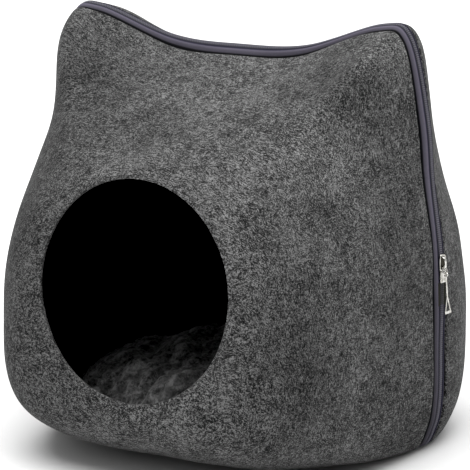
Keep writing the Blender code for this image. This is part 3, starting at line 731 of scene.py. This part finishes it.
# -------- materials
class Tree:
    """Short calls for laying out a node tree."""

    def __init__(self, tree):
        self.tree = tree

    def shade(self, name, value):
        """Feeds a socket of the material's shader."""
        self.feed(self.tree.nodes["Principled BSDF"].inputs[name], value)

    def feed(self, socket, value):
        """Links a socket to the one that its value comes from, or sets its plain value."""
        if isinstance(value, bpy.types.NodeSocket):
            self.tree.links.new(value, socket)
        else:
            socket.default_value = value

    def node(self, kind, inputs=None, **settings):
        made = self.tree.nodes.new(kind)
        for name, value in settings.items():
            setattr(made, name, value)
        for name, value in (inputs or {}).items():
            self.feed(made.inputs[name], value)
        return made

    def place(self):
        return self.node("ShaderNodeTexCoord").outputs["Object"]

    def mark(self, name):
        """A value that the points of the mesh carry."""
        return self.node("ShaderNodeAttribute", attribute_name=name).outputs["Fac"]

    def axes(self, vector):
        return self.node("ShaderNodeSeparateXYZ", {0: vector}).outputs

    def math(self, operation, a, b=0.0, c=0.0):
        return self.node("ShaderNodeMath", {0: a, 1: b, 2: c}, operation=operation).outputs[0]

    def times(self, a, b):
        return self.math("MULTIPLY", a, b)

    def vector(self, operation, a, b):
        other = "Scale" if operation == "SCALE" else 1
        return self.node("ShaderNodeVectorMath", {0: a, other: b}, operation=operation).outputs

    def ramp(self, value, low, high, to_low=0.0, to_high=1.0):
        inputs = {"Value": value, "From Min": low, "From Max": high, "To Min": to_low, "To Max": to_high}
        return self.node("ShaderNodeMapRange", inputs, interpolation_type="SMOOTHSTEP").outputs["Result"]

    def mix(self, share, a, b):
        inputs = {"Factor": share, "A": a, "B": b}
        return self.node("ShaderNodeMix", inputs, data_type="RGBA").outputs["Result"]

    def noise(self, vector, scale, detail=2.0, roughness=0.5, distortion=0.0):
        inputs = {"Vector": vector, "Scale": scale, "Detail": detail, "Roughness": roughness}
        return self.node("ShaderNodeTexNoise", {**inputs, "Distortion": distortion}).outputs

    def grain(self, *settings):
        return self.noise(*settings)["Fac"]

    def stretched(self, vector, scale, **more):
        """A place stretched by the scale, so that a pattern laid on it comes out longer."""
        inputs = {"Vector": vector, "Scale": scale, **more}
        return self.node("ShaderNodeMapping", inputs, vector_type="TEXTURE").outputs[0]

    def bump(self, height, strength, distance):
        inputs = {"Height": height, "Strength": strength, "Distance": distance}
        self.shade("Normal", self.node("ShaderNodeBump", inputs).outputs[0])

    def use(self, tree, **inputs):
        """The outputs of a node group placed in this tree."""
        return self.node("ShaderNodeGroup", inputs, node_tree=tree).outputs


def group(name, outputs, **inputs):
    """A new shader node group: a Vector input, plain inputs with their defaults, plain outputs."""
    tree = bpy.data.node_groups.new(name, "ShaderNodeTree")
    tree.interface.new_socket("Vector", in_out="INPUT", socket_type="NodeSocketVector")
    for label, default in inputs.items():
        socket = tree.interface.new_socket(label, in_out="INPUT", socket_type="NodeSocketFloat")
        socket.default_value = default
    for label in outputs:
        tree.interface.new_socket(label, in_out="OUTPUT", socket_type="NodeSocketFloat")
    lay = Tree(tree)
    return lay, lay.node("NodeGroupInput").outputs, lay.node("NodeGroupOutput").inputs


def grey(value):
    return (value, value, value, 1.0)


WOOL_TONES, FELT_INSIDE_SHADE = (grey(0.008), grey(0.162)), grey(0.002)  # dark and light wool, and painted shade for the inside faces
FELT_TONE = 0.44  # share of light wool in the mix
FELT_NAP = {"Sheen_Weight": 0.03, "Sheen_Roughness": 0.5}
GRAINS = {  # even noise in the felt: scale, detail and weight
    "cloud": (26.0, 3.0, 0.6),
    "tuft":  (120.0, 1.0, 0.5),
    "grit":  (620.0, 1.0, 0.4),
    "dust":  (1100.0, 1.0, 1.05),
}
WOOLS = {  # its fibres: scale, swirl, width, and the weights of their streaks and of single fibres
    "coarse": (300.0, 0.024, 0.020, 0.26, 0.15),
    "fine":   (760.0, 0.016, 0.035, 0.85, 0.20),
    "hair":   (1500.0, 0.012, 0.050, 1.40, 0.18),
}
STRETCH = 6.0  # length of a wool streak to its width
LAY = {  # direction of a layer of wool, and the turn that carries the x axis into it
    "across":  ((1, 0, 0), (0.0, 0.0, 0.0)),
    "upright": ((0, 0, 1), (0.0, -pi / 2, 0.0)),
    "deep":    ((0, 1, 0), (0.0, 0.0, pi / 2)),
    "rising":  ((0.82, 0, 0.57), (0.0, -0.61, 0.0)),
    "falling": ((0.87, 0, -0.5), (0.0, 0.52, 0.0)),
}

# dark blue nylon, darkened further into painted shadow of the gaps beside the coil
NAVY_AND_GAP_SHADOW, BAND_NAVY_AND_GAP_SHADOW = (0.013, 0.012, 0.024, 1.0), (0.005, 0.005, 0.009, 1.0)
OLIVE, SHADOW, TAPE_PAINTED_SHADOW = (0.016, 0.016, 0.011, 1.0), grey(0.018), (0.002, 0.002, 0.003, 1.0)
COIL = (0.112, 0.108, 0.134, 1.0)
TAPE_LIT_AND_SHADED = {  # each tape's lit tone and the painted shade of its weave's grooves, and the distance at which it ends in painted shadow; the back tape's tones are painted lighter than the front's
    "front": ((0.128, 0.118, 0.156, 1.0), (0.076, 0.070, 0.094, 1.0), HEMS["front"]),
    "back":  ((0.190, 0.182, 0.222, 1.0), (0.110, 0.105, 0.132, 1.0), HEMS["back"] + 0.0028),
}
FILM = 0.024  # length of the stiffened tape below the box
# Edges on a tape: two from the zip's middle, then two back from where it ends in painted shadow, for its
# painted shade and the painted shadow at its foot.
NAVY_LINE_AND_GAP_SHADOW, FILM_EDGE, SHADE_BAND, FOOT_SHADOW = (0.0052, 0.0064), (0.0062, 0.0066), (0.0085, 0.0040), (0.0046, 0.0032)
RIB_PITCH, RIB_BAND = 0.0009, 0.0026  # width of a rib, and of the band that it slants across
METAL = {
    "worn":   (0.42, 0.41, 0.38, 1.0),
    "bright": (0.70, 0.69, 0.66, 1.0),
    "recess_shade": (0.030, 0.028, 0.022, 1.0),
}
PLUSH_NAP = {"Sheen_Weight": 0.25, "Sheen_Roughness": 0.45}
PLUSH = {"root": 0.034, "tuft": 0.195, "patch": 0.22, "hair": 0.33, "trough_shade": 0.016, "sheen": 0.42}


def filament_group():
    """Loose wool lying in all directions of the surface: streaks of noise and thin fibres.

    Each layer is a noise stretched along one direction, on coordinates that a broad noise swirls,
    and counts by how far that direction lies in the surface, 1 - (normal . direction)^2. Streaks
    is the sum of the layers about their middle. A fibre is where a layer passes its middle value,
    and a broader noise breaks it up.
    """
    outputs = ("Streaks", "Fibres")
    lay, given, gives = group("filaments", outputs, Scale=400.0, Swirl=0.01, Width=0.05)
    broad = lay.noise(given["Vector"], 38.0, 1.0)["Color"]
    swirl = lay.vector("SUBTRACT", broad, (0.5, 0.5, 0.5))[0]
    pushed = lay.vector("SCALE", swirl, given["Swirl"])[0]
    place = lay.vector("ADD", given["Vector"], pushed)[0]
    normal = lay.node("ShaderNodeNewGeometry").outputs["Normal"]
    streaks, fibres = 0.0, 0.0
    for step, (direction, turn) in enumerate(LAY.values()):
        aside = (step * 3.1, step * 1.7, 0.0)
        stretched = lay.stretched(place, (STRETCH, 1.0, 1.0), Location=aside, Rotation=turn)
        facing = lay.vector("DOT_PRODUCT", normal, direction)["Value"]
        within = lay.math("SUBTRACT", 1.0, lay.times(facing, facing))
        off = lay.math("SUBTRACT", lay.grain(stretched, given["Scale"], 1.0), 0.5)
        streaks = lay.math("MULTIPLY_ADD", off, within, streaks)
        line = lay.ramp(lay.math("ABSOLUTE", off), 0.0, given["Width"], 1.0, 0.0)
        fibres = lay.math("MAXIMUM", fibres, lay.times(line, within))
    broken = lay.grain(given["Vector"], lay.times(given["Scale"], 0.7), 1.0)
    lay.feed(gives["Streaks"], streaks)
    lay.feed(gives["Fibres"], lay.times(fibres, lay.ramp(broken, 0.44, 0.66)))
    return lay.tree


def weave_group():
    """A woven tape: slanting ribs that change direction at the middle of each band, as heights, and the
    share of lit tone that paints shade into their grooves.
    """
    lay, given, gives = group("tape_weave", ("Height", "RibLit"), Pitch=0.0008)
    along, across, _ = lay.axes(given["Vector"])
    folded = lay.math("PINGPONG", across, RIB_BAND)
    slant = lay.math("DIVIDE", lay.math("ADD", along, folded), given["Pitch"])
    rib = lay.math("SINE", lay.times(slant, 2 * pi))
    yarn = lay.math("SINE", lay.times(lay.math("DIVIDE", across, given["Pitch"]), 2 * pi))
    height = lay.math("ADD", rib, lay.times(yarn, 0.4))
    lay.feed(gives["Height"], height)
    lay.feed(gives["RibLit"], lay.ramp(height, -1.2, 1.2))
    return lay.tree


def new_material(name, **plain):
    """A material whose even values are set on its shader, the Principled BSDF."""
    made = bpy.data.materials.new(name)
    made.use_nodes = True
    lay = Tree(made.node_tree)
    for label, value in plain.items():
        lay.shade(label.replace("_", " "), value)
    return made, lay


def felt_material(filaments):
    """Charcoal melange felt: clouds of mixed wool, light and dark fibres, a soft nap, broad patches of
    painted light and shade, and painted shade that makes the inside almost black.
    """
    made, lay = new_material("melange_felt", Roughness=0.95, Specular_IOR_Level=0.1, **FELT_NAP)
    where = lay.place()
    tone = FELT_TONE - sum(weight for *_, weight in GRAINS.values()) / 2
    for scale, detail, weight in GRAINS.values():
        tone = lay.math("MULTIPLY_ADD", lay.grain(where, scale, detail, 0.6), weight, tone)
    wools = []
    for scale, swirl, width, *weights in WOOLS.values():
        wools.append((lay.use(filaments, Vector=where, Scale=scale, Swirl=swirl, Width=width), weights))
    for i, part in enumerate(("Streaks", "Fibres")):
        for wool, weights in wools:
            tone = lay.math("MULTIPLY_ADD", wool[part], weights[i], tone)
    share = lay.math("POWER", lay.math("MAXIMUM", tone, 0.0), 2.0)
    # the wool's colour scaled by the "mix" attribute: painted light and shade in broad patches
    base = lay.vector("SCALE", lay.mix(share, *WOOL_TONES), lay.mark("mix"))[0]
    # painted shade: the felt's inside faces go almost black, as the shade inside the cave
    colour = lay.mix(lay.ramp(lay.mark("inside"), 0.50, 0.90), base, FELT_INSIDE_SHADE)
    lay.shade("Base Color", colour)
    lay.bump(tone, 0.20, 0.0006)
    return made


def tape_material(name, weave, colour, shade, end, box):
    """Woven tape: the ribs of its weave with painted shade in their grooves, worn threads, a dark line by
    the chain that is partly painted shadow, and a painted shadow at its foot.

    The UV map holds the distance along the zip and the distance from its middle, in metres. Painted
    shade darkens the tape towards the felt and near the floor, its inner face is painted almost
    black as shade, and an olive film stiffens the tape below the box.
    """
    made, lay = new_material(name, Roughness=0.85, Specular_IOR_Level=0.2)
    where = lay.node("ShaderNodeUVMap", uv_map="UVMap").outputs[0]
    woven = lay.use(weave, Vector=where, Pitch=RIB_PITCH)
    body = lay.place()
    along, across, _ = lay.axes(where)
    # painted shade: the dark tone in the grooves between the ribs, the lit tone on their crests
    threads = lay.mix(woven["RibLit"], shade, colour)
    threads = lay.mix(lay.ramp(lay.grain(body, 180.0, 3.0), 0.50, 0.75, 0.0, 0.3), threads, colour)
    # painted shade: the tape darkens towards the felt's edge
    threads = lay.mix(lay.ramp(across, end - SHADE_BAND[0], end - SHADE_BAND[1], 0.0, 0.50), threads, SHADOW)
    # painted shade: the tape darkens towards the floor
    threads = lay.mix(lay.ramp(lay.axes(body)[2], 0.03, 0.30, 0.50, 0.0), threads, SHADOW)
    # a dark line by the chain: partly the tape's dark blue edge, partly painted shadow of the gap beside
    # the coil
    threads = lay.mix(lay.ramp(across, *NAVY_LINE_AND_GAP_SHADOW, 1.0, 0.0), threads, NAVY_AND_GAP_SHADOW)
    film = lay.ramp(along, box - FILM - 0.001, box - FILM)
    film = lay.times(film, lay.ramp(along, box, box + 0.001, 1.0, 0.0))
    film = lay.times(film, lay.ramp(across, *FILM_EDGE, 1.0, 0.0))
    threads = lay.mix(film, threads, OLIVE)
    # painted shadow: the tape's foot under the felt's edge and its whole inner face go almost black
    foot = lay.ramp(across, end - FOOT_SHADOW[0], end - FOOT_SHADOW[1])
    dark = lay.math("MAXIMUM", foot, lay.ramp(lay.mark("inside"), 0.2, 0.8))
    lay.shade("Base Color", lay.mix(dark, threads, TAPE_PAINTED_SHADOW))
    lay.bump(woven["Height"], 0.6, 0.0002)
    return made


def nylon_material(name, colour, rough):
    """Moulded nylon: a faint change of tone and of gloss along its length, olive under the film."""
    made, lay = new_material(name, Specular_IOR_Level=0.4)
    patch = lay.grain(lay.place(), 90.0, 2.0)
    darker = (colour[0] * 0.7, colour[1] * 0.7, colour[2] * 0.75, 1.0)
    tone = lay.mix(lay.times(lay.mark("film"), 0.7), lay.mix(patch, darker, colour), OLIVE)
    lay.shade("Base Color", tone)
    lay.shade("Roughness", lay.ramp(patch, 0.3, 0.7, rough - 0.06, rough + 0.08))
    return made


def metal_material():
    """Polished die-cast metal: fine handling scratches, duller smudges, and painted shade in its recessed
    fields and underneath.
    """
    made, lay = new_material("slider_metal", Metallic=1.0)
    where = lay.place()
    drawn = lay.node("ShaderNodeMapping", {"Vector": where, "Scale": (1.0, 1.0, 0.12)}).outputs[0]
    scratch = lay.grain(drawn, 2600.0, 2.0)
    smudge = lay.grain(where, 240.0, 2.0)
    tone = lay.mix(lay.ramp(smudge, 0.35, 0.7), METAL["worn"], METAL["bright"])
    # painted shade: the recessed fields, the underside and the plate behind the chain go almost black
    lay.shade("Base Color", lay.mix(lay.mark("recess_shade"), tone, METAL["recess_shade"]))
    rough = lay.math("ADD", lay.ramp(smudge, 0.3, 0.7, 0.16, 0.26), lay.ramp(scratch, 0.55, 0.7, 0.0, 0.10))
    lay.shade("Roughness", rough)
    lay.bump(scratch, 0.08, 0.00005)
    return made


def plush_material(filaments):
    """Short dark plush: tufts lit on their tips, dark roots between them, and brushed streaks of painted
    sheen with painted shade in their troughs.
    """
    made, lay = new_material("grey_plush", Roughness=1.0, Specular_IOR_Level=0.1, **PLUSH_NAP)
    where = lay.place()
    tone = {name: grey(value) for name, value in PLUSH.items()}
    tuft = lay.grain(where, 260.0, 3.0, 0.65, 0.6)
    sweep = lay.grain(lay.stretched(where, (1.0, 5.0, 1.0)), 110.0, 3.0, 0.6, 0.4)
    hair = lay.use(filaments, Vector=where, Scale=260.0, Swirl=0.03, Width=0.05)["Fibres"]
    base = lay.mix(lay.ramp(tuft, 0.32, 0.66), tone["root"], tone["tuft"])
    base = lay.mix(lay.ramp(lay.grain(where, 45.0, 2.0), 0.35, 0.7, 0.0, 0.4), base, tone["patch"])
    base = lay.mix(lay.times(hair, 0.5), base, tone["hair"])
    # painted shade in the troughs of the brushed streaks, painted sheen on their crests
    base = lay.mix(lay.ramp(sweep, 0.38, 0.60, 0.62, 0.0), base, tone["trough_shade"])
    base = lay.mix(lay.ramp(sweep, 0.54, 0.72, 0.0, 0.5), base, tone["sheen"])
    lay.shade("Base Color", base)
    lay.bump(lay.math("ADD", tuft, lay.times(hair, 0.3)), 0.9, 0.002)
    return made


# -------- assembly
def build_pieces():
    slider, start, end, box = zip_places()
    filaments, weave = filament_group(), weave_group()
    felt, metal = felt_material(filaments), metal_material()
    halves = {side: Half(side) for side in SIDES}
    pieces = {}
    for side, half in halves.items():
        name = f"{side}_felt"
        made = felt_half(name, half, HEMS[side], side == "back")
        pieces[name] = (made, felt, f"{side}_shell", "charcoal_felt")
    for side, half in halves.items():
        name = f"{side}_tape"
        made = zip_tape(name, half, side)
        look = tape_material(f"{name}_weave", weave, *TAPE_LIT_AND_SHADED[side], box)
        pieces[name] = (made, look, f"zip_tape_{side}", "tape_weave")
    # the coil band's near-black dark blue: partly the sewn edges' dye, partly painted shadow of the gaps
    # beside and between the teeth
    band_navy_and_shadow, coil = nylon_material("band_navy_and_gap_shadow", BAND_NAVY_AND_GAP_SHADOW, 0.6), nylon_material("coil_teeth", COIL, 0.40)
    pieces["coil_band"] = (coil_band(start, end), band_navy_and_shadow, "zip_chain", "coil_nylon")
    pieces["coil_teeth"] = (coil_teeth(start, end), coil, "zip_chain", "coil_nylon")
    pieces["slider_body"] = (slider_body(slider), metal, "zip_slider", "slider_metal")
    pieces["cushion_plush"] = (cushion(), plush_material(filaments), "cushion", "plush")
    for piece, look, node, slot in pieces.values():
        piece.data.materials.append(look)
        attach(piece, "root")
        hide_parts(node)

    for name in ("zip_box", "pull_link", "pull_tab"):
        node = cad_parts[name]
        for place in node.material_slots:
            place.link = "OBJECT"
            place.material = metal


# -------- stage, camera and light
CAMERA = {
    "azimuth": 32.78, "elevation": 15.28, "roll": -2.56, "distance": 2.8696,
    "focal_px": 2681.0, "middle_px": (247.1, 235.0), "aim_height": 0.210,
}
FRAME_PX = 470  # width and height of the photograph
SENSOR = 36.0
FLOOR_HALF, FLOOR_TONES = 40.0, (grey(0.62), grey(0.64))
LIGHTS = {  # azimuth and elevation from the object's middle, angle across, strength
    "overhead": (0, 84, 55, 4.6),
    "right":    (100, 55, 40, 0.7),
}
SKY, SKY_TOP = (0.38, 0.80), 0.9  # the room's light at eye level and above, and the height of its peak
BLACK_LEVEL = 0.005  # what is darker than this comes out black


def heading(azimuth, elevation):
    """Unit vector from the object at an azimuth from its front and an elevation."""
    a, e = radians(azimuth), radians(elevation)
    return Vector((sin(a) * cos(e), -cos(a) * cos(e), sin(e)))


def set_camera():
    """The photograph's viewpoint, turned by its small roll and moved off centre by its crop."""
    back = heading(CAMERA["azimuth"], CAMERA["elevation"])
    aim = Vector(ORIGIN) + Vector((0, 0, CAMERA["aim_height"]))
    a, roll = radians(CAMERA["azimuth"]), radians(CAMERA["roll"])
    right = Vector((cos(a), sin(a), 0))
    up = back.cross(right)
    level = right * cos(roll) + up * sin(roll)
    upright = up * cos(roll) - right * sin(roll)
    data = bpy.data.cameras.new("camera")
    data.sensor_width = SENSOR
    data.lens = CAMERA["focal_px"] / FRAME_PX * SENSOR
    data.shift_x = (FRAME_PX / 2 - CAMERA["middle_px"][0]) / FRAME_PX
    data.shift_y = (CAMERA["middle_px"][1] - FRAME_PX / 2) / FRAME_PX
    data.clip_start, data.clip_end = 0.05, 60
    camera = bpy.data.objects.new("camera", data)
    turned = Matrix((level, upright, back)).transposed().to_4x4()
    camera.matrix_world = Matrix.Translation(aim + back * CAMERA["distance"]) @ turned
    SCENE.collection.objects.link(camera)
    SCENE.camera = camera


def set_floor():
    corners = np.array([(-1, -1, 0), (1, -1, 0), (1, 1, 0), (-1, 1, 0)]) * FLOOR_HALF
    floor = new_mesh("floor", corners, np.array([[0, 1, 2, 3]]))
    made, lay = new_material("pale_floor", Roughness=0.9, Specular_IOR_Level=0.1)
    lay.shade("Base Color", lay.mix(lay.grain(lay.place(), 0.8, 1.0), *FLOOR_TONES))
    floor.data.materials.append(made)


def set_lights():
    """Soft broad lights from above and from the right, in a white room that is brighter above."""
    for name, (azimuth, elevation, spread, strength) in LIGHTS.items():
        data = bpy.data.lights.new(name, "SUN")
        data.angle, data.energy = radians(spread), strength
        lamp = bpy.data.objects.new(name, data)
        lamp.matrix_world = heading(azimuth, elevation).to_track_quat("Z", "Y").to_matrix().to_4x4()
        SCENE.collection.objects.link(lamp)
    world = bpy.data.worlds.new("studio")
    world.use_nodes = True
    shade = world.node_tree.nodes["Background"]
    shade.inputs["Color"].default_value = (1, 1, 1, 1)
    lay = Tree(world.node_tree)
    height = lay.axes(lay.node("ShaderNodeTexCoord").outputs["Generated"])[2]
    lay.feed(shade.inputs["Strength"], lay.ramp(height, 0.0, SKY_TOP, *SKY))
    SCENE.world = world
    view = SCENE.view_settings
    view.view_transform = "Standard"
    view.use_curve_mapping = True
    view.curve_mapping.black_level = (BLACK_LEVEL,) * 3
    view.curve_mapping.update()


set_camera()
build_pieces()
set_floor()
set_lights()
